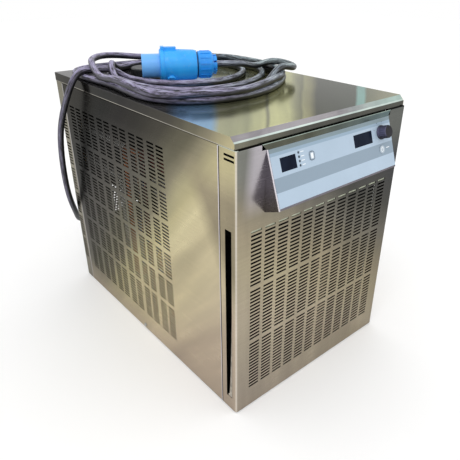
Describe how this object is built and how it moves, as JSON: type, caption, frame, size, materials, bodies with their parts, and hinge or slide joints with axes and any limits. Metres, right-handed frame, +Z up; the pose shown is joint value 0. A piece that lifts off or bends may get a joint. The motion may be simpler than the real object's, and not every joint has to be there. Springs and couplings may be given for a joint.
{
  "type": "recirculating chiller",
  "caption": "Upright recirculating chiller in folded stainless sheet with slotted panels, a sloping control console and a coiled supply lead with an industrial plug.",
  "frame": {"origin": "centre of the footprint at floor level", "axes": "+Z up, -Y towards the front with the console, -X the left side seen from the front"},
  "size_m": [0.4012, 0.6862, 0.5329],
  "materials": {
    "stainless": "brushed",
    "zinc_sheet": "galvanised",
    "steel_bright": "polished",
    "overlay_blue": "satin film",
    "display_dark": "gloss",
    "key_white": "satin",
    "board_green": "satin",
    "black_plastic": "satin",
    "foam_black": "open foam",
    "aluminium_fins": "mill",
    "copper": "plain copper",
    "dark_metal": "satin",
    "rubber_black": "matt, dusty",
    "stainless_plain": "mill",
    "brass": "plain",
    "motor_blue": "semi-gloss",
    "hose_braid": "braided",
    "wire_red": "satin",
    "lever_red": "dipped",
    "plug_blue": "semi-gloss"
  },
  "bodies": {
    "chassis": {"base_pan": "zinc_sheet", "frame_posts": "zinc_sheet", "front_panel": "stainless", "left_side_panel": "stainless", "right_side_panel": "stainless", "rear_panel": "stainless", "top_lid": "stainless", "panel_screws": "steel_bright", "console_housing": "stainless", "console_overlay": "overlay_blue", "left_display": "display_dark", "right_display": "display_dark", "status_leds": "display_dark", "control_board": "board_green", "encoder_body": "black_plastic", "filter_guides": "zinc_sheet", "condenser_duct": "zinc_sheet", "condenser_fins": "aluminium_fins", "condenser_tubes": "copper", "fan_shroud": "zinc_sheet", "fan_motor": "dark_metal", "compressor_shell": "dark_metal", "compressor_grommets": "rubber_black", "terminal_cover": "black_plastic", "evaporator": "stainless_plain", "expansion_valve": "brass", "suction_line": "copper", "discharge_line": "copper", "liquid_line": "copper", "reservoir_tank": "stainless_plain", "reservoir_cover": "stainless_plain", "tank_foam": "foam_black", "tank_stand": "zinc_sheet", "pump_motor": "motor_blue", "pump_head": "brass", "pump_cradle": "zinc_sheet", "water_hoses": "hose_braid", "wiring_loom": "wire_red", "electrical_box": "zinc_sheet", "process_fittings": "brass", "drain_valve": "brass", "main_breaker": "black_plastic", "cable_gland": "black_plastic", "supply_lead": "rubber_black", "supply_coil": "rubber_black", "supply_tail": "rubber_black", "plug_shell": "plug_blue", "plug_nut": "plug_blue", "plug_pins": "brass"},
    "knob": {"control_knob": "black_plastic", "knob_shaft": "steel_bright"},
    "select_button": {"select_key": "key_white"},
    "power_button": {"power_key": "key_white"},
    "fan": {"fan_blades": "black_plastic"},
    "pump_shaft": {"pump_rotor": "steel_bright"},
    "air_filter": {"filter_frame": "black_plastic", "filter_foam": "foam_black"},
    "cap": {"filler_cap": "black_plastic"},
    "valve_lever": {"drain_lever": "lever_red"},
    "rocker": {"breaker_rocker": "black_plastic"}
  },
  "joints": [
    {"name": "knob_turn", "type": "hinge", "parent": "chassis", "child": "knob", "pos_m": [0.1106, -0.28745, 0.42524], "axis": [0, -0.946, 0.324], "continuous": true},
    {"name": "select_press", "type": "slide", "parent": "chassis", "child": "select_button", "axis": [0, 0.946, -0.324], "range_m": [0, 0.0006], "stiffness_N_per_m": 600},
    {"name": "power_press", "type": "slide", "parent": "chassis", "child": "power_button", "axis": [0, 0.946, -0.324], "range_m": [0, 0.0006], "stiffness_N_per_m": 600},
    {"name": "fan_spin", "type": "hinge", "parent": "chassis", "child": "fan", "pos_m": [0, -0.17, 0.182], "axis": [0, 1, 0], "continuous": true},
    {"name": "pump_spin", "type": "hinge", "parent": "chassis", "child": "pump_shaft", "pos_m": [-0.04, 0.13, 0.062], "axis": [0, 1, 0], "continuous": true},
    {"name": "filter_slide", "type": "slide", "parent": "chassis", "child": "air_filter", "axis": [-1, 0, 0], "range_m": [0, 0.32]},
    {"name": "cap_turn", "type": "hinge", "parent": "chassis", "child": "cap", "pos_m": [-0.055, 0.145, 0.478], "axis": [0, 0, 1], "range_deg": [0, 90]},
    {"name": "lever_turn", "type": "hinge", "parent": "chassis", "child": "valve_lever", "pos_m": [0.04, 0.294, 0.06], "axis": [0, 0, 1], "range_deg": [0, 90]},
    {"name": "breaker_rock", "type": "hinge", "parent": "chassis", "child": "rocker", "pos_m": [0.12, 0.276, 0.07], "axis": [1, 0, 0], "range_deg": [0, 18]}
  ]
}
